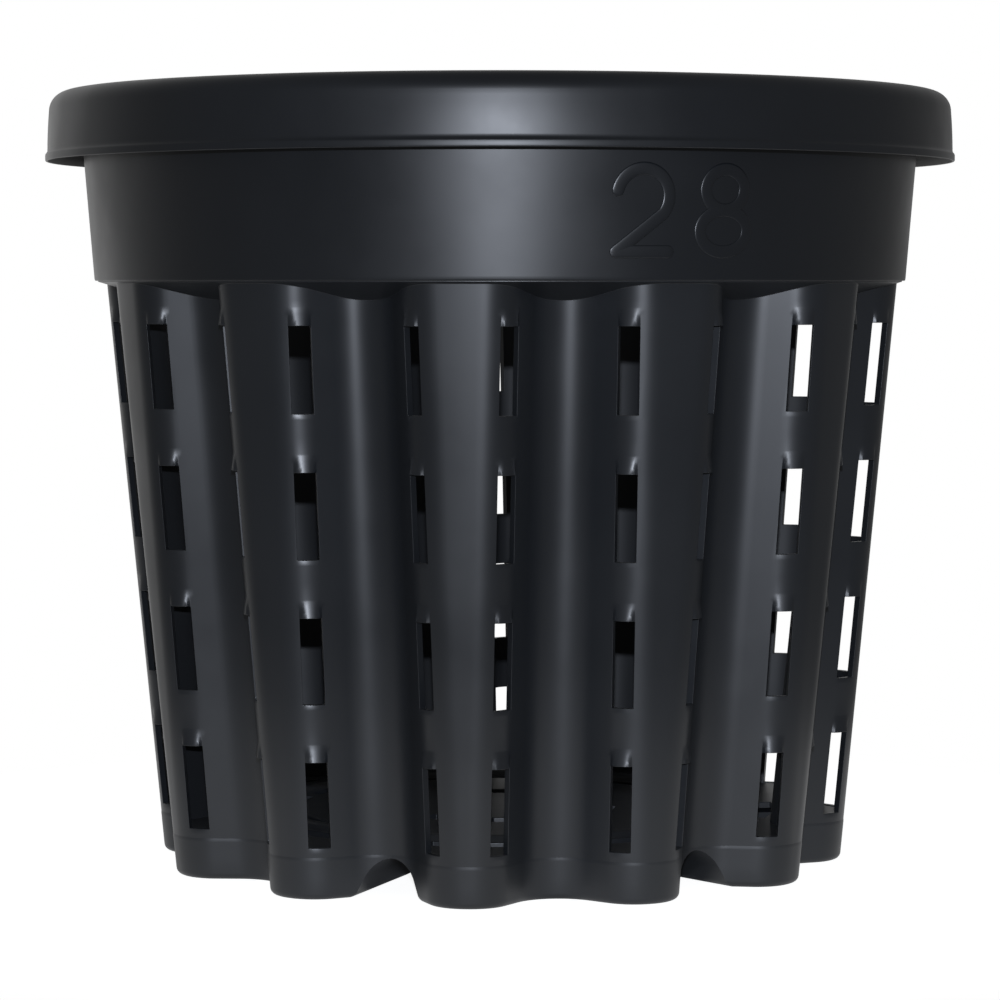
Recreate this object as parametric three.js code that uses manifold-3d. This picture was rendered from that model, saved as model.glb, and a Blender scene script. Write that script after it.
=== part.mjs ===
// Air pruning pot, 330 mm across the lip: a nursery pot whose fluted wall and raised floor are
// slotted, so that root tips reach air and stop instead of circling. All sizes are millimetres.
// +Z is up and the origin is on the ground, under the middle of the pot. -Y is the middle of foot 1.
//
// The pot is one injection moulding. It is split here only at level planes where its section
// changes, so that each region is a solid of its own and meets the next one face to face.
import * as THREE from "three";
import { mergeVertices } from "three/addons/utils/BufferGeometryUtils.js";
import Module from "manifold-3d";

// Driving dimensions
const potHeight = 278;
const wall = 2.4;

// Lip: a rounded top edge that turns down into a hanging skirt
const lipHeight = 25;
const lipCorner = 7;
const lipReach = 10.6; // from the collar's outer face to the lip's outer face, at the top
const skirtLean = 0.6; // growth of the skirt's radius from the corner down to its bead
const beadHeight = 3;
const beadProud = 0.8;

// Collar: the smooth band under the lip, standing on the shoulder where the flutes end
const collarHeight = 68;
const collarLean = 5.6; // growth of the collar's radius from the shoulder up to the top
const shoulderLedge = 3; // how far the collar stands out past the flutes' crests

// Flutes: from a valley's arc a straight flank runs to a ridge's arc, and a ridge's crest is flat
const footCount = 6;
const crestTopRadius = 144.4; // at the shoulder
const crestBottomRadius = 124.2; // at the ground
const crestTopWidth = 16;
const crestBottomWidth = 1;
const fluteDepthTop = 18.5;
const fluteDepthBottom = 20;
const flankTurn = THREE.MathUtils.degToRad(48); // how far the valley's arc turns to each side
const shoulderSlope = 0.29; // fall of the ceiling over a valley for each millimetre inwards

// Air slots, one column down each side of each ridge, where its arc starts
const slotWidth = 7.6;
const slotSetback = 0.6; // from the end of the flank to the slot
const slotHeight = 29.5;
const slotPitch = 49.2;
const firstSlotDrop = 15; // from the shoulder to the top of the first slot

// Feet and floor
const footHeight = 13.5;
const floorThickness = 2.4;
const footWall = 3.6;
const footProud = 0.6; // the foot stands out past the wall, all round
const footEdgeRadius = 2.2;
const channelGroundWidth = 24;
const channelRoofWidth = 12;
const ribThickness = 2.4;
const ribInnerRadius = 58;
const channelWebMargin = 0.6; // floor left past the ribs on each side of an air channel
const footWebWidth = 6; // floor left along the middle of each foot
const beadRise = 2;

// Rings of drain slots, and the raised bead between the outer two, as shares of the crests' radius
const drainShares = [
  { inner: 0.26, outer: 0.34 },
  { inner: 0.59, outer: 0.635 },
  { inner: 0.733, outer: 0.805 },
];
const beadShares = { inner: 0.648, outer: 0.72 };

// Facets
const roundSegments = 60;
const drainSegments = 36;
const ridgeSteps = 2;
const valleySteps = 4;
const cornerSteps = 3;
const footEdgeSteps = 2;
const cutOver = 1; // how far a cutting solid runs past what it cuts

// Places that follow from the sizes above
const fluteCount = 2 * footCount;
const halfPitch = Math.PI / fluteCount;
const shoulderZ = potHeight - collarHeight;
const floorTopZ = footHeight + floorThickness;
const slotRows = 1 + Math.floor((shoulderZ - floorTopZ - firstSlotDrop - slotHeight) / slotPitch);
const channelWebWidth = channelRoofWidth + 2 * (ribThickness + channelWebMargin);
const ceilingRise = wall * Math.hypot(1, shoulderSlope); // the ceiling over a valley, straight up
const collarBottomRadius = crestTopRadius + shoulderLedge;
const collarTopRadius = collarBottomRadius + collarLean;
const lipUndersideZ = potHeight - wall;
const lipCornerZ = potHeight - lipCorner;
const lipTopRadius = collarTopRadius + lipReach;

const wasm = await Module();
wasm.setup();

const plastic = new THREE.MeshStandardMaterial({ color: 0x26282b, roughness: 0.48, metalness: 0 });
const pot = new THREE.Group();

function addPiece(name, geometry, turn = 0) {
  const piece = new THREE.Mesh(geometry, plastic.clone());
  piece.name = name;
  piece.rotation.z = turn;
  pot.add(piece);
}

// A closed geometry as a solid for joining and cutting.
function solidOf(geometry) {
  const bare = geometry.clone();
  bare.deleteAttribute("normal");
  bare.deleteAttribute("uv");
  const merged = mergeVertices(bare, 1e-4);
  const vertProperties = merged.attributes.position.array;
  const triVerts = new Uint32Array(merged.index.array);
  return new wasm.Manifold(new wasm.Mesh({ numProp: 3, vertProperties, triVerts }));
}

function geometryOf(solid) {
  const mesh = solid.getMesh();
  const geometry = new THREE.BufferGeometry();
  geometry.setAttribute("position", new THREE.BufferAttribute(mesh.vertProperties, 3));
  geometry.setIndex(new THREE.BufferAttribute(mesh.triVerts, 1));
  geometry.computeVertexNormals();
  return geometry;
}

// Turns a closed profile of [radius, height] points about the pot's axis.
function revolve(profile, segments = roundSegments) {
  const points = [...profile, profile[0]].map(([radius, height]) => new THREE.Vector2(radius, height));
  return new THREE.LatheGeometry(points, segments).rotateX(Math.PI / 2);
}

// A quarter arc as [radius, height] points, from the angle `from` to the angle `to`.
function cornerArc(radius, height, arc, from, to) {
  const curve = new THREE.EllipseCurve(radius, height, arc, arc, from, to, from > to);
  return curve.getPoints(cornerSteps).map((point) => [point.x, point.y]);
}

// The arcs of one flute at one level. The valley's arc and the ridge's arc share one radius: the
// one at which a flank that touches both has turned by flankTurn. The valley's arc is centred in
// its own direction, and the ridge's arc crestTurn further round, where the flat crest begins.
function fluteArcs(crestRadius, valleyRadius, crestWidth) {
  const crestTurn = halfPitch - crestWidth / 2 / crestRadius;
  const arc =
    (valleyRadius * Math.cos(flankTurn) - crestRadius * Math.cos(crestTurn + flankTurn)) /
    (2 - Math.cos(flankTurn) - Math.cos(crestTurn + flankTurn));
  return { arc, crestTurn, valleyCentre: valleyRadius + arc, ridgeCentre: crestRadius - arc };
}

// The direction of valley `index`, seen from the axis. Valley 0 faces -Y.
function valleyDirection(index) {
  return index * 2 * halfPitch - Math.PI / 2;
}

function onCircle(radius, angle) {
  return new THREE.Vector2(radius * Math.cos(angle), radius * Math.sin(angle));
}

function arcPoints(centre, radius, from, to, steps) {
  const curve = new THREE.EllipseCurve(centre.x, centre.y, radius, radius, from, to, from > to);
  return curve.getPoints(steps);
}

// Sizes that change along a straight line from the ground to the shoulder
function crestRadiusAt(z) {
  return THREE.MathUtils.lerp(crestBottomRadius, crestTopRadius, z / shoulderZ);
}

function valleyRadiusAt(z) {
  return crestRadiusAt(z) - THREE.MathUtils.lerp(fluteDepthBottom, fluteDepthTop, z / shoulderZ);
}

function fluteArcsAt(z) {
  const crestWidth = THREE.MathUtils.lerp(crestBottomWidth, crestTopWidth, z / shoulderZ);
  return fluteArcs(crestRadiusAt(z), valleyRadiusAt(z), crestWidth);
}

// The closed outline of the flutes at one level, anticlockwise: valley arc, ridge arc, crest,
// ridge arc, and so on. `inset` is the depth below the outer face; every arc keeps its centre.
function fluteOutline(z, inset) {
  const { arc, crestTurn, valleyCentre, ridgeCentre } = fluteArcsAt(z);
  const outline = [];
  for (let index = 0; index < fluteCount; index++) {
    const valley = valleyDirection(index);
    const inwards = valley + Math.PI;
    const rise = valley + crestTurn;
    const nextValley = valleyDirection(index + 1);
    const fall = nextValley - crestTurn;
    const valleyAt = onCircle(valleyCentre, valley);
    const riseAt = onCircle(ridgeCentre, rise);
    const fallAt = onCircle(ridgeCentre, fall);
    outline.push(
      ...arcPoints(valleyAt, arc + inset, inwards + flankTurn, inwards - flankTurn, valleySteps),
      ...arcPoints(riseAt, arc - inset, valley - flankTurn, rise, ridgeSteps),
      ...arcPoints(fallAt, arc - inset, fall, nextValley + flankTurn, ridgeSteps),
    );
  }
  return outline;
}

// A solid through outlines at rising levels. Each outline has as many points as the next.
function loft(levels) {
  const count = levels[0].outline.length;
  const last = levels.length - 1;
  const positions = [0, 0, levels[0].z, 0, 0, levels[last].z];
  for (const { z, outline } of levels) {
    for (const point of outline) positions.push(point.x, point.y, z);
  }
  const at = (level, step) => 2 + level * count + (step % count);
  const faces = [];
  for (let step = 0; step < count; step++) {
    faces.push(0, at(0, step + 1), at(0, step));
    faces.push(1, at(last, step), at(last, step + 1));
    for (let level = 0; level < last; level++) {
      faces.push(at(level, step), at(level, step + 1), at(level + 1, step + 1));
      faces.push(at(level, step), at(level + 1, step + 1), at(level + 1, step));
    }
  }
  const geometry = new THREE.BufferGeometry();
  geometry.setAttribute("position", new THREE.Float32BufferAttribute(positions, 3));
  geometry.setIndex(faces);
  return solidOf(geometry);
}

function fluteLoft(heights, inset) {
  return loft(heights.map((z) => ({ z, outline: fluteOutline(z, inset) })));
}

// A ring that is level with the shoulder on top and slopes up below, out to the collar's foot. Left
// where it is it closes the valleys with a ceiling; lifted by `lift` it is the room above that.
function shoulderRing(lift) {
  const inner = valleyRadiusAt(shoulderZ) - 2 * wall;
  const outer = collarBottomRadius - lift / shoulderSlope;
  const low = shoulderZ - shoulderSlope * (outer - inner);
  return solidOf(revolve([[inner, low], [outer, shoulderZ], [inner, shoulderZ]]));
}

// Lip: the flat land on top of the collar, and the corner that turns down from it
function rimLip() {
  const centre = lipTopRadius - lipCorner;
  return revolve([
    [collarTopRadius - wall, lipUndersideZ],
    ...cornerArc(centre, lipCornerZ, lipCorner - wall, Math.PI / 2, 0),
    ...cornerArc(centre, lipCornerZ, lipCorner, 0, Math.PI / 2),
    [collarTopRadius - wall, potHeight],
  ]);
}

// Skirt: hangs from the lip's corner, leans out a little and ends in a bead
function rimSkirt() {
  const edgeZ = potHeight - lipHeight;
  const beadZ = edgeZ + beadHeight;
  const beadRadius = lipTopRadius + skirtLean;
  return revolve([
    [beadRadius - wall, edgeZ],
    [beadRadius + beadProud, edgeZ],
    [beadRadius, beadZ],
    [lipTopRadius, lipCornerZ],
    [lipTopRadius - wall, lipCornerZ],
  ]);
}

// Collar: a leaning band on the last of the sloping shoulder, cut to the inside of the flutes
function collarBand() {
  const ledgeInner = collarBottomRadius - ceilingRise / shoulderSlope;
  const ledgeTopZ = shoulderZ + ceilingRise - wall * shoulderSlope;
  const topRadius = THREE.MathUtils.lerp(collarTopRadius, collarBottomRadius, wall / collarHeight);
  const band = revolve([
    [ledgeInner, shoulderZ],
    [collarBottomRadius, shoulderZ],
    [topRadius, lipUndersideZ],
    [topRadius - wall, lipUndersideZ],
    [collarBottomRadius - wall, ledgeTopZ],
  ]);
  const inside = fluteLoft([shoulderZ - cutOver, ledgeTopZ + cutOver], wall);
  return geometryOf(solidOf(band).subtract(inside));
}

// The middle of a slot at level z and the wall's outward normal there. `side` is 1 for the ridge
// anticlockwise of the valley.
function slotMiddle(index, side, z) {
  const { arc, crestTurn, ridgeCentre } = fluteArcsAt(z);
  const valley = valleyDirection(index);
  const centre = onCircle(ridgeCentre, valley + side * crestTurn);
  const outward = onCircle(1, valley - side * (flankTurn - (slotSetback + slotWidth / 2) / arc));
  return {
    point: new THREE.Vector3(centre.x + arc * outward.x, centre.y + arc * outward.y, z),
    normal: new THREE.Vector3(outward.x, outward.y, 0),
  };
}

// A block through the wall, square to it and running along it
function slotCutter(index, side, row) {
  const topZ = shoulderZ - firstSlotDrop - row * slotPitch;
  const high = slotMiddle(index, side, topZ);
  const low = slotMiddle(index, side, topZ - slotHeight);
  const along = high.point.clone().sub(low.point).normalize();
  const across = new THREE.Vector3().crossVectors(high.normal, along).normalize();
  const outward = new THREE.Vector3().crossVectors(along, across);
  const middle = high.point.clone().add(low.point).multiplyScalar(0.5);
  const block = new THREE.BoxGeometry(slotWidth, 4 * wall, slotHeight);
  const place = new THREE.Matrix4().makeBasis(across, outward, along).setPosition(middle);
  return solidOf(block.applyMatrix4(place));
}

function airSlots() {
  const cutters = [];
  for (let index = 0; index < fluteCount; index++) {
    for (const side of [-1, 1]) {
      for (let row = 0; row < slotRows; row++) cutters.push(slotCutter(index, side, row));
    }
  }
  return wasm.Manifold.union(cutters);
}

// Fluted wall: stands on the floor and ends at the shoulder
function flutedWall() {
  const outside = fluteLoft([floorTopZ, shoulderZ], 0).add(shoulderRing(0));
  const inside = fluteLoft([floorTopZ - cutOver, shoulderZ + cutOver], wall);
  const ceilingTop = shoulderRing(ceilingRise);
  return geometryOf(outside.subtract(inside).subtract(ceilingTop).subtract(airSlots()));
}

// A bar of the floor or of the air channels, run out from the axis along `direction`. `section` is
// a closed outline of [offset across, height] points.
function radialBar(section, direction, start, length) {
  const shape = new THREE.Shape(section.map(([across, z]) => new THREE.Vector2(across, z)));
  const bar = new THREE.ExtrudeGeometry(shape, { depth: length, bevelEnabled: false });
  const place = new THREE.Matrix4().makeBasis(
    new THREE.Vector3(-Math.sin(direction), Math.cos(direction), 0),
    new THREE.Vector3(0, 0, 1),
    new THREE.Vector3(Math.cos(direction), Math.sin(direction), 0),
  );
  const origin = onCircle(start, direction);
  place.setPosition(origin.x, origin.y, 0);
  return solidOf(bar.applyMatrix4(place));
}

function floorWeb(index, width) {
  const half = width / 2;
  const low = footHeight - cutOver;
  const high = floorTopZ + cutOver;
  const section = [[-half, low], [half, low], [half, high], [-half, high]];
  return radialBar(section, valleyDirection(index), 0, crestBottomRadius);
}

// Rings of drain slots, parted by a web over each channel and a web along each foot
function drainSlots() {
  const low = footHeight - cutOver;
  const high = floorTopZ + cutOver;
  const rings = drainShares.map((share) => {
    const inner = share.inner * crestBottomRadius;
    const outer = share.outer * crestBottomRadius;
    return solidOf(revolve([[inner, low], [outer, low], [outer, high], [inner, high]], drainSegments));
  });
  const webs = [];
  for (let index = 0; index < fluteCount; index++) {
    webs.push(floorWeb(index, index % 2 ? channelWebWidth : footWebWidth));
  }
  return wasm.Manifold.union(rings).subtract(wasm.Manifold.union(webs));
}

// A low arched bead that stands on the floor
function floorBead() {
  const inner = beadShares.inner * crestBottomRadius;
  const outer = beadShares.outer * crestBottomRadius;
  const middle = (inner + outer) / 2;
  const reach = (outer - inner) / 2;
  const arch = new THREE.EllipseCurve(middle, floorTopZ, reach, beadRise, 0, Math.PI, false);
  const points = arch.getPoints(cornerSteps).map((point) => [point.x, point.y]);
  const seatZ = floorTopZ - floorThickness / 2;
  return revolve([[inner, seatZ], [outer, seatZ], ...points], drainSegments);
}

function basePlate() {
  const plate = fluteLoft([footHeight, floorTopZ], -footProud);
  return geometryOf(plate.add(solidOf(floorBead())).subtract(drainSlots()));
}

// Foot: a sector of fluted skirt under the floor, closed at each side by a rib along the channel.
// The lower outer edge is rounded by drawing the outline in over the last few levels.
function footOutside() {
  const levels = [];
  for (let step = 0; step <= footEdgeSteps; step++) {
    const angle = (step / footEdgeSteps) * (Math.PI / 2);
    const z = footEdgeRadius * (1 - Math.cos(angle));
    const drawnIn = footEdgeRadius * (1 - Math.sin(angle));
    levels.push({ z, outline: fluteOutline(z, drawnIn - footProud) });
  }
  levels.push({ z: footHeight, outline: fluteOutline(footHeight, -footProud) });
  return loft(levels);
}

// The two ribs of foot 1, one beside the channel on each hand
function footRib(side) {
  const ground = (side * channelGroundWidth) / 2;
  const roof = (side * channelRoofWidth) / 2;
  const thick = side * ribThickness;
  const section = [
    [ground, 0],
    [ground + thick, 0],
    [roof + thick, footHeight],
    [roof, footHeight],
  ];
  const ordered = side > 0 ? section : section.reverse();
  return radialBar(ordered, valleyDirection(-side), ribInnerRadius, crestBottomRadius);
}

// What lies beyond foot 1's side of one channel: the channel itself and everything past it
function beyondChannel(side) {
  const ground = (side * channelGroundWidth) / 2;
  const roof = (side * channelRoofWidth) / 2;
  const slope = (ground - roof) / footHeight;
  const far = -side * 3 * crestBottomRadius;
  const section = [
    [ground + slope * cutOver, -cutOver],
    [roof - slope * cutOver, footHeight + cutOver],
    [far, footHeight + cutOver],
    [far, -cutOver],
  ];
  const ordered = side > 0 ? section : section.reverse();
  const reach = 3 * crestBottomRadius;
  return radialBar(ordered, valleyDirection(-side), -reach, 2 * reach);
}

function foot() {
  const outside = footOutside();
  const inside = fluteLoft([-cutOver, footHeight + cutOver], footWall - footProud);
  const skirt = outside.subtract(inside);
  const ribs = footRib(1).add(footRib(-1)).intersect(outside);
  return geometryOf(skirt.add(ribs).subtract(beyondChannel(1)).subtract(beyondChannel(-1)));
}

addPiece("rim_lip", rimLip());
addPiece("rim_skirt", rimSkirt());
addPiece("collar_band", collarBand());
addPiece("fluted_wall", flutedWall());
addPiece("base_plate", basePlate());
const footShape = foot();
for (let index = 0; index < footCount; index++) {
  addPiece(`foot_${index + 1}`, footShape, (index * 2 * Math.PI) / footCount);
}

export default pot;
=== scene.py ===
"""Air pruning pot: a black injection-moulded nursery pot with a deep lip, a fluted and slotted wall
and six notched feet. Surfaces are worked out on grids, in millimetres, in the frame of the CAD."""
import math

import bpy
import numpy as np
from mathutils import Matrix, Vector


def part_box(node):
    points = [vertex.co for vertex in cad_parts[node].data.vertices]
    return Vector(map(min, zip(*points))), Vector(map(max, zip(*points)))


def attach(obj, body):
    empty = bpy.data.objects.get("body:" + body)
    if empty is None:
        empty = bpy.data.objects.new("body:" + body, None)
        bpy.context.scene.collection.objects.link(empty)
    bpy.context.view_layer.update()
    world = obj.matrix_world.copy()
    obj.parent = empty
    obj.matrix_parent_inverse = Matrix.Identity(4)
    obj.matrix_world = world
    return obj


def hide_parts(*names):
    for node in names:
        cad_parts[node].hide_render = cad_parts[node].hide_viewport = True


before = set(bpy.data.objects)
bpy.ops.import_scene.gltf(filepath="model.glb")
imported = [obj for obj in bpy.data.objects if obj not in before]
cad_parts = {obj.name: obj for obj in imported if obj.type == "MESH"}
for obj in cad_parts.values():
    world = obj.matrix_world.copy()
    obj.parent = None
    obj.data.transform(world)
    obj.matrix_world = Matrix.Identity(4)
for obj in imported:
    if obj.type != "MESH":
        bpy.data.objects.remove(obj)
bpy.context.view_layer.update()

MM = 0.001


def top_of(node):
    """Highest point of a CAD node, in millimetres."""
    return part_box(node)[1][2] / MM


def foot_of(node):
    """Lowest point of a CAD node, in millimetres."""
    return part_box(node)[0][2] / MM


# Levels taken from the CAD
POT_TOP = top_of("rim_lip")
LIP_CORNER_Z = top_of("rim_skirt")
LIP_EDGE_Z = foot_of("rim_skirt")
SHOULDER_Z = top_of("fluted_wall")
FLOOR_TOP_Z = top_of("base_plate")
FOOT_TOP_Z = top_of("foot_1")
LIP_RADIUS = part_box("rim_skirt")[1][0] / MM

# Wall and flutes
WALL = 2.4
FLUTES = 12
FEET = FLUTES // 2
HALF_PITCH = math.pi / FLUTES
CREST_TOP = 144.4
CREST_FOOT = 124.2
CREST_WIDTH_TOP = 16.0
CREST_WIDTH_FOOT = 1.0
DEPTH_TOP = 18.5
DEPTH_FOOT = 20.0
FLANK_TURN = math.radians(48.0)
CEILING_SLOPE = 0.29
CLIMB_STEPS = 3
CEILING_STEPS = 5

# Edge roundings: the width, and the angle between two faces from which their edge is rounded
WALL_ROUNDING = (0.3, math.radians(26))
FLOOR_ROUNDING = (0.4, math.radians(60))

# Air slots
SLOT_ROWS = 4
SLOT_WIDTH = 7.6
SLOT_SETBACK = 0.6
SLOT_HEIGHT = 29.5
SLOT_PITCH = 49.2
SLOT_DROP = 15.0

# Hoods over the slots and dips under them. Their lines are where the wall's grid has a row, in
# lengths away from the slot's end.
HOOD_RISE = 1.2
HOOD_LENGTH = 6.0
HOOD_FLATNESS = 4
HOOD_LINES = np.array([0.03, 0.35, 0.68, 0.95, 1.05])
DIP_DEPTH = 0.25
DIP_LENGTH = 1.3
DIP_LINES = np.array([1.5, 1.0, 0.0])

# Collar and lip. Each edge is the radius of a rounding.
COLLAR_FOOT_RADIUS = 147.4
COLLAR_TOP_RADIUS = 153.0
COLLAR_EDGE = 0.5
COLLAR_ROOT = 2.0
LIP_CORNER = 7.0
LIP_INNER_EDGE = 1.6
SKIRT_LEAN = 0.6
SKIRT_BEVEL_HEIGHT = 2.2
BEAD_PROUD = 0.8
BEAD_HEIGHT = 3.0
BEAD_LOWER_EDGE = 0.5
BEAD_UPPER_EDGE = 0.9

# Feet, which lap a little over the wall, and the half widths of the air channels between them
FOOT_PROUD = 0.12
FOOT_LAP = 1.5
LAP_SINK = 0.04
FOOT_WALL = 3.6
FOOT_EDGE = 2.2
FOOT_SHARP_ANGLE = math.radians(40)
FLUTE_STEPS = 32
RIB_STEPS = 10
CHANNEL_GROUND = 12.0
CHANNEL_ROOF = 6.0
RIB_REACH = 58.0

# Floor: rings of drain slots from one radius to another, the half widths of the webs that part
# them, the widest share of the pitch that each web takes near the axis, and a bead
FLOOR_THICKNESS = 2.4
FLOOR_RINGS = ((32.3, 42.2), (73.3, 78.9), (91.0, 100.0))
CHANNEL_WEB = 9.0
CHANNEL_WEB_SHARE = 0.6
FOOT_WEB = 3.0
FOOT_WEB_SHARE = 0.25
FLOOR_BEAD = (80.5, 89.5)
FLOOR_BEAD_RISE = 2.0

# Raised figures on the collar
FIGURES = "28"
FIGURE_ANGLES = (math.radians(8.7), math.radians(20.2))
FIGURE_LEVEL = SHOULDER_Z + 9.5
FIGURE_WIDTH = 18.2
STROKE_WIDTH = 4.3
STROKE_STEPS = 16
FIGURE_RELIEF = 0.32
FIGURE_ROOT = 0.5
FIGURE_FULLNESS = 0.7

# Steps round the collar and lip, and round the ground
TURN_STEPS = 288
GROUND_STEPS = 96

# Plastic: linear tones, roughness, how far both vary, and then for each pattern how many waves
# there are in a metre and how deep they are in millimetres
WALL_TONE = (0.0098, 0.0112, 0.0134)
LIP_TONE = (0.0055, 0.0066, 0.0084)
SHOWN_ROUGHNESS = 0.37
LOW_ROUGHNESS = 0.42
HIDDEN_ROUGHNESS = 0.62
TONE_SPREAD = (0.76, 1.26)
ROUGHNESS_SPREAD = (-0.04, 0.05)
NOISE_SPREAD = (0.3, 0.7)
FLOW_MARKS = 9.0
RUBBING = 26.0
WAVINESS = 34.0
WAVINESS_DEPTH = 0.12
GRAIN = 2400.0
GRAIN_DEPTH = 0.02

# Camera and light, in metres
CAMERA_DISTANCE = 1.3439
CAMERA_HEIGHT = 0.21
CAMERA_TURN = math.radians(-9.6)
CAMERA_TILT = math.radians(1.547)
CAMERA_SHIFT = -0.12
CAMERA_LENS = 132.2
LAMP_RISE = 0.072
LAMP_AIM_DROP = 0.07
LAMP_SIZE = 0.012
LAMP_WATTS = 12.5
LAMP_COLOUR = (0.82, 0.88, 1.0)

# Ground and room. Under the pot, inside the shade's radii in millimetres, the mirrored glow fades:
# painted shade in place of the pot's shadow on the ground where it is mirrored.
GROUND_RINGS = (0.0, 120.0, 300.0)
GROUND_GLOW = 0.9
GROUND_MIRRORED = 0.55
SHADE_RADII = (96, 108)
SHADE_GLOW = 0.05
ROOM_LIGHT = 0.28
ROOM_MIRRORED = 0.14
BACKDROP_MIRRORED = 0.8
BACKDROP_TURN = math.radians(17)
BACKDROP_NARROWING = 4.3


def crest_radius(z):
    """Straight line from the crest at the ground to the crest at the shoulder."""
    return CREST_FOOT + (CREST_TOP - CREST_FOOT) * z / SHOULDER_Z


def flute_keys(z, inset):
    """Numbers of one flute at level z, each an array like z.

    The valley arc and the ridge arc have one radius, at which a straight flank that touches both
    stands at the flank's turn. The valley arc's centre is on the valley's middle line and the
    ridge arc's centre is in the direction where the crest circle begins. Moving inwards by inset
    keeps both centres and changes the radii.
    """
    level = z / SHOULDER_Z
    crest = crest_radius(z)
    depth = DEPTH_FOOT + (DEPTH_TOP - DEPTH_FOOT) * level
    crest_width = CREST_WIDTH_FOOT + (CREST_WIDTH_TOP - CREST_WIDTH_FOOT) * level
    ridge_turn = HALF_PITCH - crest_width / 2 / crest
    radius = ((crest - depth) * math.cos(FLANK_TURN) - crest * np.cos(ridge_turn + FLANK_TURN)) / (
        2 - math.cos(FLANK_TURN) - np.cos(ridge_turn + FLANK_TURN)
    )
    valley_centre = crest - depth + radius
    ridge_x = (crest - radius) * np.cos(ridge_turn)
    ridge_y = (crest - radius) * np.sin(ridge_turn)
    flank = (ridge_x - valley_centre + 2 * radius * math.cos(FLANK_TURN)) * math.sin(FLANK_TURN) + (
        ridge_y - 2 * radius * math.sin(FLANK_TURN)
    ) * math.cos(FLANK_TURN)
    lengths = [
        (radius + inset) * FLANK_TURN,
        flank,
        (radius - inset) * (FLANK_TURN + ridge_turn),
        (crest - inset) * (HALF_PITCH - ridge_turn),
    ]
    return {
        "radius": radius,
        "crest": crest - inset,
        "valley_arc": radius + inset,
        "ridge_arc": radius - inset,
        "valley_centre": valley_centre,
        "ridge_turn": ridge_turn,
        "ridge_x": ridge_x,
        "ridge_y": ridge_y,
        "ends": np.stack(np.broadcast_arrays(*lengths)).cumsum(axis=0),
    }


def half_flute(keys, length):
    """Point of a half flute at an arc length from the valley's middle line.

    It is a valley arc, then a straight flank, then a ridge arc, then the crest circle up to the
    ridge's middle line. Returns distance along the valley's middle line, distance across it, and
    the turn of the wall's outward normal from that line.
    """
    valley_end, flank_end, ridge_end, _ = keys["ends"]
    valley_turn = length / keys["valley_arc"]
    along_flank = length - valley_end
    ridge_turn = FLANK_TURN - (length - flank_end) / keys["ridge_arc"]
    crest_turn = keys["ridge_turn"] + (length - ridge_end) / keys["crest"]
    start_x = keys["valley_centre"] - keys["valley_arc"] * math.cos(FLANK_TURN)
    start_y = keys["valley_arc"] * math.sin(FLANK_TURN)
    stretch = [length <= valley_end, length <= flank_end, length <= ridge_end]
    x = np.select(
        stretch,
        [
            keys["valley_centre"] - keys["valley_arc"] * np.cos(valley_turn),
            start_x + along_flank * math.sin(FLANK_TURN),
            keys["ridge_x"] + keys["ridge_arc"] * np.cos(ridge_turn),
        ],
        keys["crest"] * np.cos(crest_turn),
    )
    y = np.select(
        stretch,
        [
            keys["valley_arc"] * np.sin(valley_turn),
            start_y + along_flank * math.cos(FLANK_TURN),
            keys["ridge_y"] - keys["ridge_arc"] * np.sin(ridge_turn),
        ],
        keys["crest"] * np.sin(crest_turn),
    )
    turn = np.select(stretch, [valley_turn, FLANK_TURN + 0 * length, ridge_turn], -crest_turn)
    return x, y, turn


def place_flutes(x, y, z, flutes):
    """Copies one flute round the pot: each copy is turned so that its valley faces its own way.

    x, y and z have rows by columns. Valley 0 faces -Y and the copies follow anticlockwise.
    """
    angle = np.asarray(flutes)[None, :, None] * 2 * HALF_PITCH - math.pi / 2
    x, y, z = (np.broadcast_to(v, x.shape)[:, None, :] for v in (x, y, z))
    points = np.stack(
        [
            x * np.cos(angle) - y * np.sin(angle),
            x * np.sin(angle) + y * np.cos(angle),
            np.broadcast_to(z, (x.shape[0], len(flutes), x.shape[2])),
        ],
        axis=-1,
    )
    return points.reshape(x.shape[0], -1, 3)


def stops(*spans):
    """One rising list of parameters: each span is (first, last, steps) and shares its ends."""
    parts = [np.linspace(first, last, steps + 1)[:-1] for first, last, steps in spans]
    return np.concatenate(parts + [[spans[-1][1]]])


def add_mesh(name, points, faces, material, hidden=None, rounding=None):
    """Mesh from an array of points in millimetres and quads, without the points no face uses.

    Points that coincide, as at a pole, become one, and a quad with two corners there a triangle.
    hidden marks the faces of inner sides, which get the duller finish. rounding is the width and
    the least angle of the edges' rounding.
    """
    _, first, weld = np.unique(np.round(points, 5), axis=0, return_index=True, return_inverse=True)
    used, faces = np.unique(weld.reshape(-1)[faces], return_inverse=True)
    corners = [list(dict.fromkeys(face)) for face in faces.reshape(-1, 4).tolist()]
    whole_faces = [face for face in corners if len(face) > 2]
    mesh = bpy.data.meshes.new(name)
    mesh.from_pydata((points[first[used]] * MM).tolist(), [], whole_faces)
    mesh.validate()
    mesh.materials.append(material)
    if hidden is not None:
        mesh.materials.append(hidden_plastic)
        mesh.polygons.foreach_set("material_index", hidden.astype(np.int32))
    mesh.polygons.foreach_set("use_smooth", np.ones(len(mesh.polygons), dtype=bool))
    piece = bpy.data.objects.new(name, mesh)
    bpy.context.collection.objects.link(piece)
    if rounding:
        width, least_angle = rounding
        bevel = piece.modifiers.new("edge_rounding", "BEVEL")
        bevel.width = width * MM
        bevel.segments = 2
        bevel.limit_method = "ANGLE"
        bevel.angle_limit = least_angle
        bevel.harden_normals = True
    return piece


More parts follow.
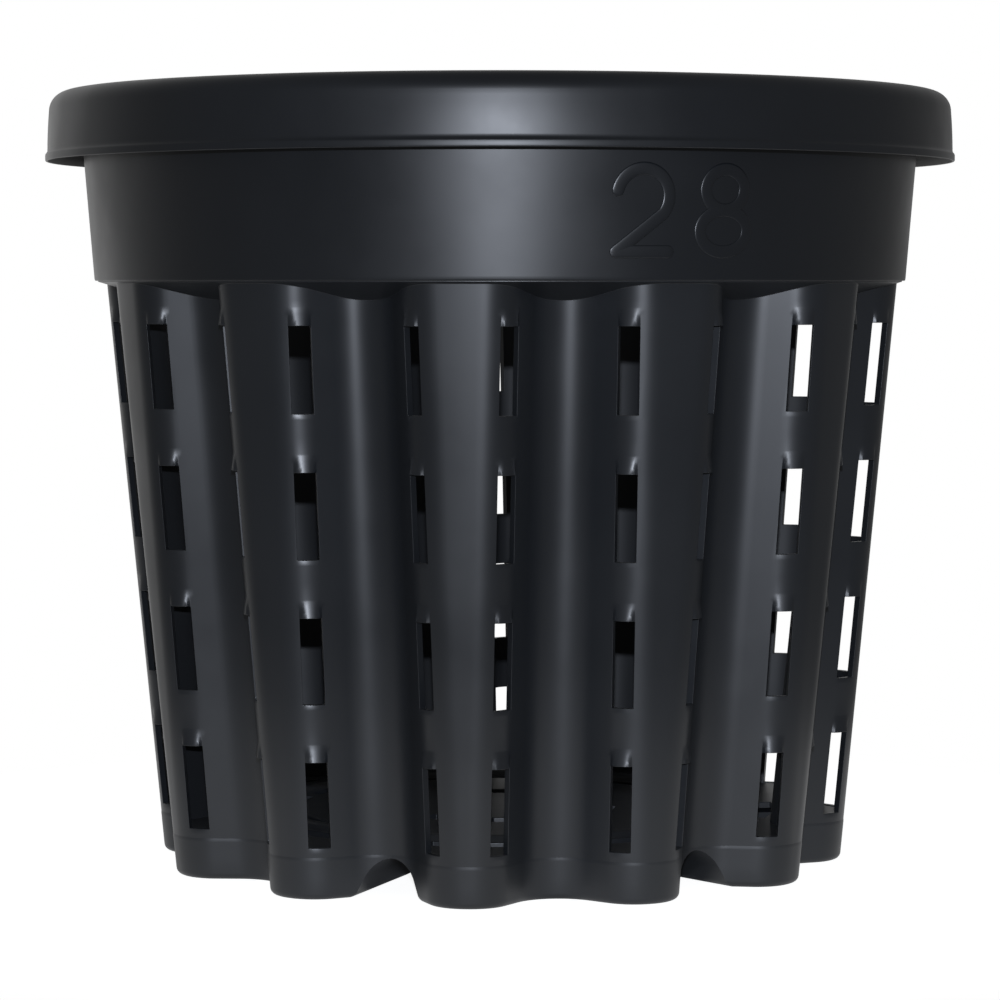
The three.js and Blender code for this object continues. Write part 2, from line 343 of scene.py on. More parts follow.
def shell(outer, inner, keep):
    """Points and quads of a wall between two grids, with the cells where keep is false left open.

    Both grids have rows by columns and close on themselves along the columns. Every edge between
    an open cell and a kept one, and the first and last rows, gets a quad from skin to skin.
    """
    rows, columns = outer.shape[:2]
    index = np.arange(rows * columns).reshape(rows, columns)
    here, right = index, np.roll(index, -1, axis=1)
    deep = rows * columns
    low_left, low_right = here[:-1][keep], right[:-1][keep]
    high_left, high_right = here[1:][keep], right[1:][keep]
    outer_faces = np.stack([low_left, low_right, high_right, high_left], axis=-1)
    inner_faces = np.stack([high_left, high_right, low_right, low_left], axis=-1) + deep
    before = np.roll(keep, 1, axis=1)
    padded = np.zeros((rows + 1, columns), dtype=bool)
    padded[1:-1] = keep
    below, above = padded[:-1], padded[1:]
    closes = before & ~keep
    opens = ~before & keep
    starts = above & ~below
    ends = below & ~above
    edges = np.concatenate(
        [
            np.stack([here[1:][closes], here[:-1][closes]], axis=-1),
            np.stack([here[:-1][opens], here[1:][opens]], axis=-1),
            np.stack([right[starts], here[starts]], axis=-1),
            np.stack([here[ends], right[ends]], axis=-1),
        ]
    )
    edge_faces = np.stack([edges[:, 0], edges[:, 1], edges[:, 1] + deep, edges[:, 0] + deep], axis=-1)
    points = np.concatenate([outer.reshape(-1, 3), inner.reshape(-1, 3)])
    return points, np.concatenate([outer_faces, inner_faces, edge_faces])


def grid_faces(rows, columns, close_rows, close_columns):
    """Quads of a grid; a closed direction joins its last line to its first."""
    index = np.arange(rows * columns).reshape(rows, columns)
    if close_rows:
        index = np.concatenate([index, index[:1]])
    if close_columns:
        index = np.concatenate([index, index[:, :1]], axis=1)
    quads = np.stack([index[:-1, :-1], index[:-1, 1:], index[1:, 1:], index[1:, :-1]], axis=-1)
    return quads.reshape(-1, 4)


def arc(centre, radius, first, last, steps):
    """Points [radius, height] of an arc about a centre, between two angles in degrees."""
    angle = np.radians(np.linspace(first, last, steps + 1))
    return np.stack([centre[0] + radius * np.cos(angle), centre[1] + radius * np.sin(angle)], axis=-1)


def plastic(name, tone, roughness, grain_strength):
    """Satin black moulded plastic: a fine spark-eroded grain, soft flow marks down the part and
    a little dust and rubbing, all from Object coordinates."""
    material = bpy.data.materials.new(name)
    material.use_nodes = True
    nodes, links = material.node_tree.nodes, material.node_tree.links
    shader = nodes["Principled BSDF"]
    shader.inputs["Specular IOR Level"].default_value = 0.5
    place = nodes.new("ShaderNodeTexCoord").outputs["Object"]

    def noise(scale, detail, stretch=(1.0, 1.0, 1.0)):
        mapping = nodes.new("ShaderNodeMapping")
        mapping.inputs["Scale"].default_value = stretch
        links.new(place, mapping.inputs["Vector"])
        texture = nodes.new("ShaderNodeTexNoise")
        texture.inputs["Scale"].default_value = scale
        texture.inputs["Detail"].default_value = detail
        links.new(mapping.outputs["Vector"], texture.inputs["Vector"])
        return texture.outputs["Fac"]

    def ramp(value, low, high, dark, light):
        shade = nodes.new("ShaderNodeValToRGB")
        shade.color_ramp.elements[0].position = low
        shade.color_ramp.elements[0].color = dark
        shade.color_ramp.elements[1].position = high
        shade.color_ramp.elements[1].color = light
        links.new(value, shade.inputs["Fac"])
        return shade.outputs["Color"]

    flow = noise(FLOW_MARKS, 4.0, (1.0, 1.0, 0.25))
    dark, light = (tuple(share * channel for channel in tone) + (1.0,) for share in TONE_SPREAD)
    links.new(ramp(flow, *NOISE_SPREAD, dark, light), shader.inputs["Base Color"])

    rub = nodes.new("ShaderNodeMapRange")
    rub.inputs["From Min"].default_value = NOISE_SPREAD[0]
    rub.inputs["From Max"].default_value = NOISE_SPREAD[1]
    rub.inputs["To Min"].default_value = roughness + ROUGHNESS_SPREAD[0]
    rub.inputs["To Max"].default_value = roughness + ROUGHNESS_SPREAD[1]
    links.new(noise(RUBBING, 5.0), rub.inputs["Value"])
    links.new(rub.outputs["Result"], shader.inputs["Roughness"])

    grain = nodes.new("ShaderNodeBump")
    grain.inputs["Strength"].default_value = grain_strength
    grain.inputs["Distance"].default_value = GRAIN_DEPTH * MM
    links.new(noise(GRAIN, 2.0), grain.inputs["Height"])
    waviness = nodes.new("ShaderNodeBump")
    waviness.inputs["Strength"].default_value = 0.25
    waviness.inputs["Distance"].default_value = WAVINESS_DEPTH * MM
    links.new(noise(WAVINESS, 2.0), waviness.inputs["Height"])
    links.new(grain.outputs["Normal"], waviness.inputs["Normal"])
    links.new(waviness.outputs["Normal"], shader.inputs["Normal"])
    return material


wall_plastic = plastic("wall_plastic", WALL_TONE, SHOWN_ROUGHNESS, grain_strength=0.10)
lip_plastic = plastic("lip_plastic", LIP_TONE, SHOWN_ROUGHNESS, grain_strength=0.10)
foot_plastic = plastic("foot_plastic", WALL_TONE, LOW_ROUGHNESS, grain_strength=0.15)
floor_plastic = plastic("floor_plastic", WALL_TONE, LOW_ROUGHNESS, grain_strength=0.20)
hidden_plastic = plastic("hidden_plastic", LIP_TONE, HIDDEN_ROUGHNESS, grain_strength=0.20)


def slot_sides(keys):
    """Arc lengths on a skin from the valley's middle line to the two sides of a slot.

    On the outer skin the slot's middle lies its setback and half its width past the flank's end.
    Both sides run into the wall parallel to the outward normal there, half a width to each side,
    so on a skin of another radius they meet the ridge arc, or the flank before it, elsewhere.
    """
    half = SLOT_WIDTH / 2
    back_turn = (SLOT_SETBACK + half) / keys["radius"]
    flank_end, arc_radius = keys["ends"][1], keys["ridge_arc"]
    lean = np.arcsin(half / arc_radius)
    on_flank = (half - arc_radius * np.sin(back_turn)) / np.cos(back_turn)
    near = np.where(on_flank > 0, flank_end - on_flank, flank_end + (back_turn - lean) * arc_radius)
    return near, flank_end + (back_turn + lean) * arc_radius


def slot_levels():
    """Lowest and highest level of each slot, from the lowest row up."""
    tops = SHOULDER_Z - SLOT_DROP - SLOT_PITCH * np.arange(SLOT_ROWS)[::-1]
    return [(top - SLOT_HEIGHT, top) for top in tops]


def wall_rows():
    """Levels up to the top row of slots, with lines on the slots' ends, the hoods and the dips."""
    levels = [FOOT_TOP_Z]
    for low, high in slot_levels():
        dip = low - DIP_LENGTH * DIP_LINES
        levels += [(levels[-1] + dip[0]) / 2, *dip, (low + high) / 2, high]
        levels += list(high + HOOD_LENGTH * HOOD_LINES)
    return np.array(levels)


def ceiling_level(radius, lift):
    """Underside of the sloping ceiling that closes a valley, or its upper side with a lift."""
    return SHOULDER_Z + lift - CEILING_SLOPE * (COLLAR_FOOT_RADIUS - radius)


def wall_skin(inset, rows, side):
    """One skin of the fluted wall, up to the ceiling and then out along it to the collar.

    Columns follow the half-flute formula. Between them and the valley, the slot's two sides and
    the ridge they share out the arc length evenly, so a pair of column lines stays on each slot's
    sides as the flutes narrow downwards. Over each slot the outer skin swells along its normal by
    a hood: a low flat roof with rounded sides across the slot, times a straight ramp highest at the
    slot's end. Under each slot it sinks in the same way by a shallow dip, deepest at the slot.
    """
    place = np.abs(side)[None, :]
    lift = inset * math.hypot(1, CEILING_SLOPE)
    nearly = 0.01

    def points_at(level):
        keys = flute_keys(level, inset)
        near, far = slot_sides(keys)
        length = np.select(
            [place <= 1, place <= 2],
            [place * near, near + (place - 1) * (far - near)],
            far + (place - 2) * (keys["ends"][3] - far),
        )
        x, y, turn = half_flute(keys, length)
        if inset == 0:
            across = np.clip(2 * place - 3, -1, 1)
            roof = 1 - np.abs(across) ** HOOD_FLATNESS
            for low, high in slot_levels():
                ramp = np.clip(1 - (level - high) / HOOD_LENGTH, 0, 1) * (level >= high - nearly)
                sink = np.clip(1 - (low - level) / DIP_LENGTH, 0, 1) * (level <= low + nearly)
                swell = roof * (HOOD_RISE * ramp - DIP_DEPTH * sink)
                x = x + swell * np.cos(turn)
                y = y - swell * np.sin(turn)
        return x, y

    top = np.full(place.shape, SHOULDER_Z)
    for _ in range(6):
        top = ceiling_level(np.hypot(*points_at(top)), lift)
    last = rows[-1]
    climb = last + np.linspace(0, 1, CLIMB_STEPS + 1)[1:, None] * (top - last)
    level = np.concatenate([np.broadcast_to(rows[:, None], (len(rows), place.shape[1])), climb])
    x, y = points_at(level)
    spread = np.linspace(0, 1, CEILING_STEPS + 1)[1:, None]
    radius = np.hypot(x[-1:], y[-1:])
    out = radius + spread * (COLLAR_FOOT_RADIUS - WALL / 2 - radius)
    x = np.concatenate([x, x[-1:] * out / radius])
    y = np.concatenate([y, y[-1:] * out / radius])
    level = np.concatenate([level, ceiling_level(out, lift)])
    return place_flutes(x, y * np.sign(side)[None, :], level, range(FLUTES))


def fluted_wall():
    """The fluted wall with its slots and the sloping ceilings of its valleys.

    Places across half a flute run from 0 in the valley to 1 and 2 at the slot's sides and 3 on the
    ridge, where the last column of one flute meets the first of the next.
    """
    rows = wall_rows()
    share = stops((0, 1, 13), (1, 2, 8), (2, 3, 8))
    side = np.concatenate([-share[::-1][:-1], share[:-1]])
    outer, inner = wall_skin(0.0, rows, side), wall_skin(WALL, rows, side)
    middle_of_rows = (rows[1:] + rows[:-1]) / 2
    in_row = np.zeros(len(outer) - 1, dtype=bool)
    for low, high in slot_levels():
        in_row[: len(middle_of_rows)] |= (middle_of_rows > low) & (middle_of_rows < high)
    middle_of_columns = (np.abs(side) + np.abs(np.roll(side, -1))) / 2
    in_column = np.tile((middle_of_columns > 1) & (middle_of_columns < 2), FLUTES)
    keep = ~(in_row[:, None] & in_column[None, :])
    points, faces = shell(outer, inner, keep)
    number = np.arange(len(faces))
    inner_skin = (number >= keep.sum()) & (number < 2 * keep.sum())
    return add_mesh(
        "fluted_wall_moulding", points, faces, wall_plastic, hidden=inner_skin, rounding=WALL_ROUNDING
    )


def revolve(name, profile, material, hidden):
    """A closed profile of [radius, height] points turned about the pot's axis. hidden marks the
    points from which the profile runs along a hidden side."""
    angle = np.linspace(0, 2 * math.pi, TURN_STEPS, endpoint=False)[None, :]
    radius, height = profile[:, 0][:, None], profile[:, 1][:, None]
    points = np.stack([radius * np.cos(angle), radius * np.sin(angle), height + 0 * angle], axis=-1)
    faces = grid_faces(len(profile), TURN_STEPS, True, True)
    return add_mesh(name, points.reshape(-1, 3), faces, material, hidden=np.repeat(hidden, TURN_STEPS))


def collar_and_lip():
    """The collar, the land on its top and the skirt that hangs from it, as one turned section.

    The collar's face is a straight line. The skirt's face leans in by its lean times the square of
    the share of the way from the bead to the corner. Points close to an edge hold its shading.
    """
    lip_radius = LIP_RADIUS - SKIRT_LEAN - BEAD_PROUD
    corner = (lip_radius - LIP_CORNER, LIP_CORNER_Z)
    bead_radius = lip_radius + SKIRT_LEAN
    bead_outside = LIP_RADIUS
    bead_top = LIP_EDGE_Z + BEAD_HEIGHT
    underside = POT_TOP - WALL
    root_z = underside - COLLAR_ROOT
    inner_top = COLLAR_TOP_RADIUS - WALL + LIP_INNER_EDGE

    def collar_face(*levels):
        share = (np.array(levels) - SHOULDER_Z) / (underside - SHOULDER_Z)
        radius = COLLAR_FOOT_RADIUS + (COLLAR_TOP_RADIUS - COLLAR_FOOT_RADIUS) * share
        return np.stack([radius, levels], axis=-1)

    def skirt_face(*levels):
        climb = (np.array(levels) - bead_top) / (LIP_CORNER_Z - bead_top)
        return np.stack([bead_radius - SKIRT_LEAN * climb**2, levels], axis=-1)

    collar_side = np.concatenate(
        [
            [[COLLAR_FOOT_RADIUS - WALL, SHOULDER_Z + 0.4]],
            arc((COLLAR_FOOT_RADIUS - COLLAR_EDGE, SHOULDER_Z + COLLAR_EDGE), COLLAR_EDGE, -90, 0, 4),
            collar_face(SHOULDER_Z + 0.8, SHOULDER_Z + 1.6, LIP_EDGE_Z + 1.0, root_z - 1.2),
        ]
    )
    hollow = np.concatenate(
        [
            arc((COLLAR_TOP_RADIUS + COLLAR_ROOT, root_z), COLLAR_ROOT, 180, 90, 6),
            arc(corner, LIP_CORNER - WALL, 90, 0, 8),
            [[bead_radius - WALL, LIP_EDGE_Z + SKIRT_BEVEL_HEIGHT]],
        ]
    )
    lower_edge = (bead_outside - BEAD_LOWER_EDGE, LIP_EDGE_Z + BEAD_LOWER_EDGE)
    upper_edge = (bead_outside - BEAD_UPPER_EDGE, bead_top - BEAD_UPPER_EDGE)
    lip_side = np.concatenate(
        [
            arc(lower_edge, BEAD_LOWER_EDGE, -135, 0, 6),
            arc(upper_edge, BEAD_UPPER_EDGE, 0, 60, 3),
            skirt_face(bead_top + 0.6, bead_top + 1.4),
            skirt_face(*np.linspace(bead_top + 4.0, LIP_CORNER_Z - 1.0, 5)),
            arc(corner, LIP_CORNER, 5, 90, 13),
            arc((inner_top, POT_TOP - LIP_INNER_EDGE), LIP_INNER_EDGE, 90, 180, 6),
        ]
    )
    profile = np.concatenate([collar_side, hollow, lip_side])
    number = np.arange(len(profile))
    in_hollow = (number >= len(collar_side) - 1) & (number < len(collar_side) + len(hollow))
    return revolve("collar_and_lip", profile, lip_plastic, in_hollow)


def foot_section():
    """Closed outline of a foot's wall as [depth below the wall's face, height], rounded at its
    lower edge. It laps a little over the wall above, so that the two faces run on smoothly."""
    edge = arc((FOOT_EDGE - FOOT_PROUD, FOOT_EDGE), FOOT_EDGE, 180, 270, 6)
    lap_depth = np.array([LAP_SINK, -0.3 * FOOT_PROUD, -0.8 * FOOT_PROUD, -FOOT_PROUD])
    lap_level = FOOT_TOP_Z + FOOT_LAP * np.array([1.0, 0.55, 0.25, 0.0])
    lap = np.stack([lap_depth, lap_level], axis=-1)
    beside_arch = FOOT_TOP_Z - CHANNEL_ROOF * (1 - np.cos(np.radians([8, 16, 25, 40, 55, 70, 90])))
    face = np.stack([0 * beside_arch - FOOT_PROUD, beside_arch], axis=-1)
    inner = FOOT_WALL - FOOT_PROUD
    inner_top = [[inner, FOOT_TOP_Z + 0.4]]
    inner_foot = [[inner - 0.5, 0], [inner, 0.5]]
    return np.concatenate([inner_top, lap, face, edge, inner_foot])


def turn_to_next(x, y):
    """A point of the neighbouring flute's near half, written in this flute's own directions."""
    turn = 2 * HALF_PITCH
    return x * math.cos(turn) + y * math.sin(turn), x * math.sin(turn) - y * math.cos(turn)


def foot(number):
    """One foot: its section carried up one channel's side, round the flutes and back down the
    next channel's side.

    The depth of a section's point below the wall's face is also its distance from the channel's
    side, so the corner between the two is where both distances hold at once. A quarter circle
    rounds the channel's side into its roof, and meets the next foot's on the middle line.
    """
    section = foot_section()
    depth, level = section[:, 0][:, None], section[:, 1][:, None]
    keys = flute_keys(level, depth)
    narrowing = (CHANNEL_GROUND - CHANNEL_ROOF) / FOOT_TOP_Z
    climb = np.clip((level - FOOT_TOP_Z) / CHANNEL_ROOF + 1, 0, 1)
    arch = CHANNEL_ROOF * (1 - np.sqrt(1 - climb**2)) * (depth < FOOT_WALL / 2)
    channel = CHANNEL_GROUND - narrowing * np.minimum(level, FOOT_TOP_Z) + FOOT_PROUD + depth - arch
    arc_side = keys["valley_arc"] * math.sin(FLANK_TURN)
    corner = np.where(
        channel < arc_side,
        keys["valley_arc"] * np.arcsin(np.minimum(channel / keys["valley_arc"], 1)),
        keys["ends"][0] + (channel - arc_side) / math.cos(FLANK_TURN),
    )
    whole = keys["ends"][3]
    share = np.linspace(0, 1, FLUTE_STEPS + 1)[None, :]
    own_x, own_y, _ = half_flute(keys, share * whole)
    near_x, near_y, _ = half_flute(keys, whole + share[:, 1:] * (corner - whole))
    rib_share = np.linspace(0, 1, RIB_STEPS + 1)[None, 1:]
    rib_x = near_x[:, -1:] + rib_share * (RIB_REACH - near_x[:, -1:])
    rib_y = np.broadcast_to(near_y[:, -1:], rib_x.shape)
    next_x, next_y = turn_to_next(
        np.concatenate([near_x, rib_x], axis=1), np.concatenate([near_y, rib_y], axis=1)
    )
    half_x = np.concatenate([own_x, next_x], axis=1)
    half_y = np.concatenate([own_y, next_y], axis=1)
    x = np.concatenate([half_x[:, ::-1], half_x[:, 1:]], axis=1)
    y = np.concatenate([-half_y[:, ::-1], half_y[:, 1:]], axis=1)
    points = place_flutes(x, y, level, [2 * number])
    rows, columns = points.shape[:2]
    faces = grid_faces(rows, columns, True, False)[:, ::-1]
    points, faces = close_ends(points, faces)
    piece = add_mesh(f"foot_skirt_{number + 1}", points, faces, foot_plastic)
    piece.data.set_sharp_from_angle(angle=FOOT_SHARP_ANGLE)
    return piece


def close_ends(points, faces):
    """Closes a tube at its first and last column: each end gets its middle point and a fan of
    quads with two corners there."""
    rows, columns = points.shape[:2]
    index = np.arange(rows * columns).reshape(rows, columns)
    flat = points.reshape(-1, 3)
    middles = flat[index[:, [0, -1]]].mean(axis=0)
    first, last = index[:, 0], index[:, -1]
    low = np.full(rows, len(flat))
    fans = [
        np.stack([first, np.roll(first, -1), low, low], axis=-1),
        np.stack([np.roll(last, -1), last, low + 1, low + 1], axis=-1),
    ]
    return np.concatenate([flat, middles]), np.concatenate([faces, *fans])


def outline_radius(angle, level, inset):
    """Distance from the axis to the fluted outline in each direction, read off a fine outline."""
    keys = flute_keys(np.array([[level]]), inset)
    x, y, _ = half_flute(keys, np.linspace(0, 1, 400)[None, :] * keys["ends"][3])
    from_valley = np.abs((angle + HALF_PITCH) % (2 * HALF_PITCH) - HALF_PITCH)
    return np.interp(from_valley, np.arctan2(y, x)[0], np.hypot(x, y)[0])


def slotted_floor():
    """The raised floor with its rings of drain slots, as a polar grid.

    Rows are circles, and the last one is the inside of the flutes. Columns keep to the webs' sides,
    which are parallel: at a distance r from the axis a web of half width w spans an angle of
    arcsin(w / r) each way. A rounded bead stands on the floor inside the outer ring of slots.
    """
    inner_ring, middle_ring, outer_ring = (np.linspace(*ring, 3) for ring in FLOOR_RINGS)
    radii = np.concatenate(
        [[0, 8, 20], inner_ring, [57], middle_ring, np.linspace(*FLOOR_BEAD, 9), outer_ring]
    )
    radius = np.append(radii, crest_radius(FLOOR_TOP_Z))[:, None]
    away = np.maximum(radius, 1)
    pitch = 2 * HALF_PITCH

    def web_turn(half_width, widest_share):
        return np.minimum(np.arcsin(np.minimum(half_width / away, 1)), widest_share * pitch)

    channel_web = web_turn(CHANNEL_WEB, CHANNEL_WEB_SHARE)
    foot_web = web_turn(FOOT_WEB, FOOT_WEB_SHARE)
    share = stops((0, 1, 2), (1, 2, 6), (2, 3, 2))[None, :]
    gap = pitch - channel_web - foot_web
    from_foot = np.select(
        [share <= 1, share <= 2],
        [share * foot_web, foot_web + (share - 1) * gap],
        foot_web + gap + (share - 2) * channel_web,
    )
    both = np.concatenate([from_foot, 2 * pitch - from_foot[:, ::-1][:, 1:]], axis=1)[:, :-1]
    angle = np.concatenate([both + 2 * pitch * number for number in range(FEET)], axis=1)
    rim = outline_radius(angle[-1], FLOOR_TOP_Z, WALL / 2)
    radius = np.broadcast_to(radius, angle.shape).copy()
    radius[-1] = rim
    across = np.clip((radius - np.mean(FLOOR_BEAD)) / (np.ptp(FLOOR_BEAD) / 2), -1, 1)
    bead = FLOOR_BEAD_RISE * np.sqrt(1 - across**2)
    turned = angle - math.pi / 2

    def skin(level, rise):
        return np.stack([radius * np.cos(turned), radius * np.sin(turned), level + rise], axis=-1)

    top = skin(FLOOR_TOP_Z, bead)
    under = skin(FLOOR_TOP_Z - FLOOR_THICKNESS, 0 * bead)
    middle = (radii[1:] + radii[:-1]) / 2
    in_ring = np.append(np.any([(middle > a) & (middle < b) for a, b in FLOOR_RINGS], axis=0), False)
    from_one_foot = (share[0][1:] + share[0][:-1]) / 2
    zone = np.concatenate([from_one_foot, from_one_foot[::-1]])
    in_gap = np.tile((zone > 1) & (zone < 2), FEET)
    keep = ~(in_ring[:, None] & in_gap[None, :])
    points, faces = shell(under, top, keep)
    return add_mesh("slotted_floor", points, faces, floor_plastic, rounding=FLOOR_ROUNDING)


def figure_strokes(figure):
    """Middle lines of a plain figure's strokes, as [along, up] points in a box one wide and
    one and a half high, with whether each stroke closes on itself."""
    if figure == "2":
        bowl = arc((0.5, 1.0), 0.5, 168, -38, 28)
        slant = np.linspace(bowl[-1], [0.0, 0.0], 12)[1:]
        base = np.linspace([0.0, 0.0], [1.0, 0.0], 14)
        return [(np.concatenate([bowl, slant]), False), (base, False)]
    loop = np.radians(np.linspace(0, 360, 48, endpoint=False))
    upper = np.stack([0.5 + 0.41 * np.cos(loop), 1.13 + 0.37 * np.sin(loop)], axis=-1)
    lower = np.stack([0.5 + 0.5 * np.cos(loop), 0.38 + 0.38 * np.sin(loop)], axis=-1)
    return [(upper, True), (lower, True)]


def raised_stroke(path, closed, middle_angle, base_level):
    """A stroke that stands on the collar: a rounded section carried along the middle line.

    Along the section the offset is half a stroke's width times the cosine of a turn. The height is
    the relief times its sine, raised to the fullness, and inside the collar the root times its sine.
    At an open end all shrink along a quarter circle, so the end is round. A point's offset runs
    round the collar and up it, and its height along the collar's radius at that level.
    """
    path = path * FIGURE_WIDTH - np.array([FIGURE_WIDTH / 2, 0.0])
    ahead = np.roll(path, -1, axis=0) - np.roll(path, 1, axis=0)
    if not closed:
        ahead[0], ahead[-1] = path[1] - path[0], path[-1] - path[-2]
    ahead /= np.linalg.norm(ahead, axis=1)[:, None]
    length = np.concatenate([[0], np.linalg.norm(np.diff(path, axis=0), axis=1).cumsum()])
    if not closed:
        reach = STROKE_WIDTH / 2
        extra = reach * (1 - np.cos(np.radians(np.array([0, 30, 60, 90]))))
        before = path[0] - ahead[0] * (reach - extra)[:, None]
        after = (path[-1] + ahead[-1] * (reach - extra)[:, None])[::-1]
        path = np.concatenate([before[:-1], path, after[1:]])
        ahead = np.pad(ahead, ((3, 3), (0, 0)), mode="edge")
        fade = np.ones(len(path))
        fade[:4] = np.sqrt(1 - ((reach - extra) / reach) ** 2)
        fade[-4:] = fade[:4][::-1]
    else:
        fade = np.ones(len(path))
    turn = np.linspace(0, 2 * math.pi, STROKE_STEPS, endpoint=False)[None, :]
    lateral = np.stack([-ahead[:, 1], ahead[:, 0]], axis=-1)
    offset = np.cos(turn) * fade[:, None] * STROKE_WIDTH / 2
    sine = np.sin(turn)
    outside = np.abs(sine) ** FIGURE_FULLNESS * FIGURE_RELIEF
    height = np.where(sine > 0, outside, sine * FIGURE_ROOT) * fade[:, None]
    along = path[:, 0][:, None] + lateral[:, 0][:, None] * offset
    level = base_level + path[:, 1][:, None] + lateral[:, 1][:, None] * offset
    lean = (COLLAR_TOP_RADIUS - COLLAR_FOOT_RADIUS) / (POT_TOP - WALL - SHOULDER_Z)
    surface = COLLAR_FOOT_RADIUS + lean * (level - SHOULDER_Z)
    angle = middle_angle + along / surface - math.pi / 2
    radius = surface + height
    points = np.stack([radius * np.cos(angle), radius * np.sin(angle), level], axis=-1)
    return points.reshape(-1, 3), grid_faces(len(path), STROKE_STEPS, closed, True)


def raised_figures():
    """Plain raised figures on the collar: the pot's height in centimetres."""
    points, faces, start = [], [], 0
    for figure, middle_angle in zip(FIGURES, FIGURE_ANGLES):
        for path, closed in figure_strokes(figure):
            new_points, new_faces = raised_stroke(path, closed, middle_angle, FIGURE_LEVEL)
            points.append(new_points)
            faces.append(new_faces + start)
            start += len(new_points)
    return add_mesh("height_figures", np.concatenate(points), np.concatenate(faces), lip_plastic)


wall_piece = fluted_wall()
lip_piece = collar_and_lip()
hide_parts("fluted_wall")
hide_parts("rim_lip", "rim_skirt", "collar_band")
foot_pieces = [foot(number) for number in range(FEET)]
for number, piece in enumerate(foot_pieces):
    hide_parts(f"foot_{number + 1}")
floor_piece = slotted_floor()
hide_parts("base_plate")
figures_piece = raised_figures()
for piece in [wall_piece, lip_piece, floor_piece, figures_piece, *foot_pieces]:
    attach(piece, "root")


def pale_floor():
    """A round white ground. Its glow reaches the camera and, more weakly, mirrored and see-through
    rays, for which it fades under the pot as painted shade in place of the pot's shadow. The pot's
    shadow stays a little darker on it, and seen from below it is clear."""
    angle = np.linspace(0, 2 * math.pi, GROUND_STEPS, endpoint=False)[None, :]
    radius = np.array(GROUND_RINGS)[:, None]
    points = np.stack([radius * np.cos(angle), radius * np.sin(angle), 0 * radius * angle], axis=-1)
    faces = grid_faces(len(GROUND_RINGS), GROUND_STEPS, False, True)[:, ::-1]
    material = bpy.data.materials.new("ground_white")
    material.use_nodes = True
    nodes, links = material.node_tree.nodes, material.node_tree.links
    shader = nodes["Principled BSDF"]
    shader.inputs["Base Color"].default_value = (0.5, 0.5, 0.5, 1)
    shader.inputs["Roughness"].default_value = 0.9
    shader.inputs["Specular IOR Level"].default_value = 0.2
    shader.inputs["Emission Color"].default_value = (1, 1, 1, 1)
    path = nodes.new("ShaderNodeLightPath")
    mirrored = nodes.new("ShaderNodeMath")
    mirrored.operation = "MAXIMUM"
    links.new(path.outputs["Is Glossy Ray"], mirrored.inputs[0])
    links.new(path.outputs["Is Transmission Ray"], mirrored.inputs[1])
    dimmed = nodes.new("ShaderNodeMath")
    dimmed.operation = "MULTIPLY"
    links.new(mirrored.outputs["Value"], dimmed.inputs[0])
    dimmed.inputs[1].default_value = GROUND_MIRRORED
    seen = nodes.new("ShaderNodeMath")
    seen.operation = "MULTIPLY_ADD"
    links.new(path.outputs["Is Camera Ray"], seen.inputs[0])
    seen.inputs[1].default_value = GROUND_GLOW
    reach = nodes.new("ShaderNodeVectorMath")
    reach.operation = "LENGTH"
    links.new(nodes.new("ShaderNodeTexCoord").outputs["Object"], reach.inputs[0])
    # Painted shade: the mirrored glow drops under the pot, where the pot's shadow falls on the ground.
    clear = nodes.new("ShaderNodeMapRange")
    clear.inputs["From Min"].default_value = SHADE_RADII[0] * MM
    clear.inputs["From Max"].default_value = SHADE_RADII[1] * MM
    clear.inputs["To Min"].default_value = SHADE_GLOW
    links.new(reach.outputs["Value"], clear.inputs["Value"])
    glow = nodes.new("ShaderNodeMath")
    glow.operation = "MULTIPLY"
    links.new(dimmed.outputs["Value"], glow.inputs[0])
    links.new(clear.outputs["Result"], glow.inputs[1])
    links.new(glow.outputs["Value"], seen.inputs[2])
    links.new(seen.outputs["Value"], shader.inputs["Emission Strength"])
    below = nodes.new("ShaderNodeMixShader")
    links.new(nodes.new("ShaderNodeNewGeometry").outputs["Backfacing"], below.inputs["Fac"])
    links.new(shader.outputs["BSDF"], below.inputs[1])
    links.new(nodes.new("ShaderNodeBsdfTransparent").outputs["BSDF"], below.inputs[2])
    links.new(below.outputs["Shader"], nodes["Material Output"].inputs["Surface"])
    ground = add_mesh("ground", points.reshape(-1, 3), faces, material)


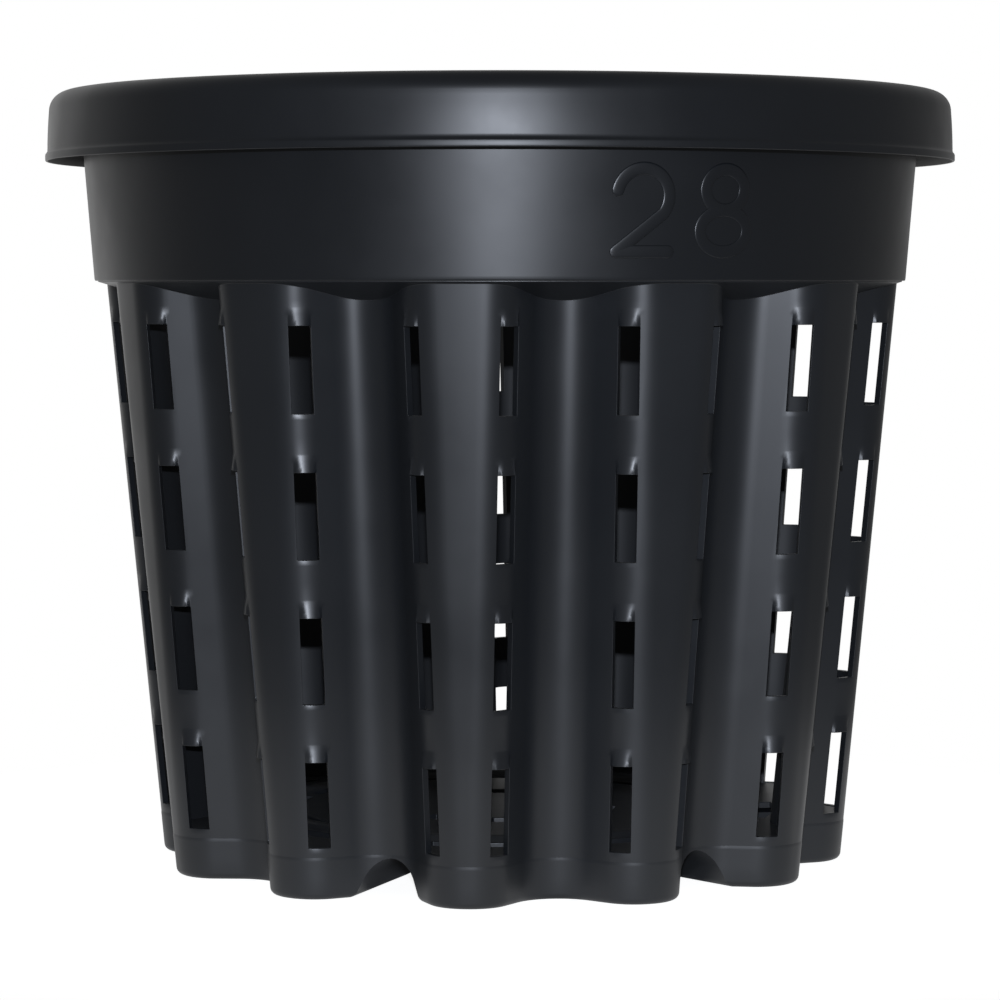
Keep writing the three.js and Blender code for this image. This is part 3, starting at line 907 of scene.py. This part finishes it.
def soft_world():
    """White where the camera sees it. Mirrored rays see that white behind the pot, and towards the
    camera a darker room; the light that falls on the pot is even all round."""
    world = bpy.data.worlds.new("studio")
    bpy.context.scene.world = world
    world.use_nodes = True
    nodes, links = world.node_tree.nodes, world.node_tree.links
    background = nodes["Background"]
    background.inputs["Color"].default_value = (1, 1, 1, 1)
    path = nodes.new("ShaderNodeLightPath")

    def mix(factor, low, high):
        blend = nodes.new("ShaderNodeMapRange")
        links.new(factor, blend.inputs["Value"])
        for socket, value in (("To Min", low), ("To Max", high)):
            if isinstance(value, float):
                blend.inputs[socket].default_value = value
            else:
                links.new(value, blend.inputs[socket])
        return blend.outputs["Result"]

    facing = nodes.new("ShaderNodeVectorMath")
    facing.operation = "DOT_PRODUCT"
    links.new(nodes.new("ShaderNodeTexCoord").outputs["Generated"], facing.inputs[0])
    turn = CAMERA_TURN + BACKDROP_TURN
    facing.inputs[1].default_value = (-math.sin(turn), math.cos(turn), 0)
    towards = nodes.new("ShaderNodeMath")
    towards.operation = "MAXIMUM"
    links.new(facing.outputs["Value"], towards.inputs[0])
    towards.inputs[1].default_value = 0.0
    narrowed = nodes.new("ShaderNodeMath")
    narrowed.operation = "POWER"
    links.new(towards.outputs["Value"], narrowed.inputs[0])
    narrowed.inputs[1].default_value = BACKDROP_NARROWING
    mirrored = mix(narrowed.outputs["Value"], ROOM_MIRRORED, BACKDROP_MIRRORED)
    glossy = mix(path.outputs["Is Glossy Ray"], ROOM_LIGHT, mirrored)
    through = mix(path.outputs["Is Transmission Ray"], glossy, 1.0)
    links.new(mix(path.outputs["Is Camera Ray"], through, 1.0), background.inputs["Strength"])


def camera_and_lamp():
    """The camera stands level with the shoulder and looks a little down, turned so that foot 1 is
    right of the middle. A small lamp just above it gives the upright highlights."""
    eye = np.array([math.sin(CAMERA_TURN), -math.cos(CAMERA_TURN), 0]) * CAMERA_DISTANCE
    eye[2] = CAMERA_HEIGHT
    data = bpy.data.cameras.new("camera")
    data.lens = CAMERA_LENS
    data.sensor_width = 36.0
    data.shift_y = CAMERA_SHIFT
    camera = bpy.data.objects.new("camera", data)
    camera.location = eye
    camera.rotation_euler = (math.pi / 2 - CAMERA_TILT, 0, CAMERA_TURN)
    bpy.context.collection.objects.link(camera)
    bpy.context.scene.camera = camera
    lamp_data = bpy.data.lights.new("near_lamp", "AREA")
    lamp_data.shape = "DISK"
    lamp_data.size = LAMP_SIZE
    lamp_data.energy = LAMP_WATTS
    lamp_data.color = LAMP_COLOUR
    lamp = bpy.data.objects.new("near_lamp", lamp_data)
    lamp.location = eye + np.array([0, 0, LAMP_RISE])
    lamp_tilt = math.atan2(LAMP_RISE + LAMP_AIM_DROP, CAMERA_DISTANCE)
    lamp.rotation_euler = (math.pi / 2 - lamp_tilt, 0, CAMERA_TURN)
    bpy.context.collection.objects.link(lamp)


pale_floor()
soft_world()
camera_and_lamp()

bpy.context.scene.view_settings.view_transform = "Standard"
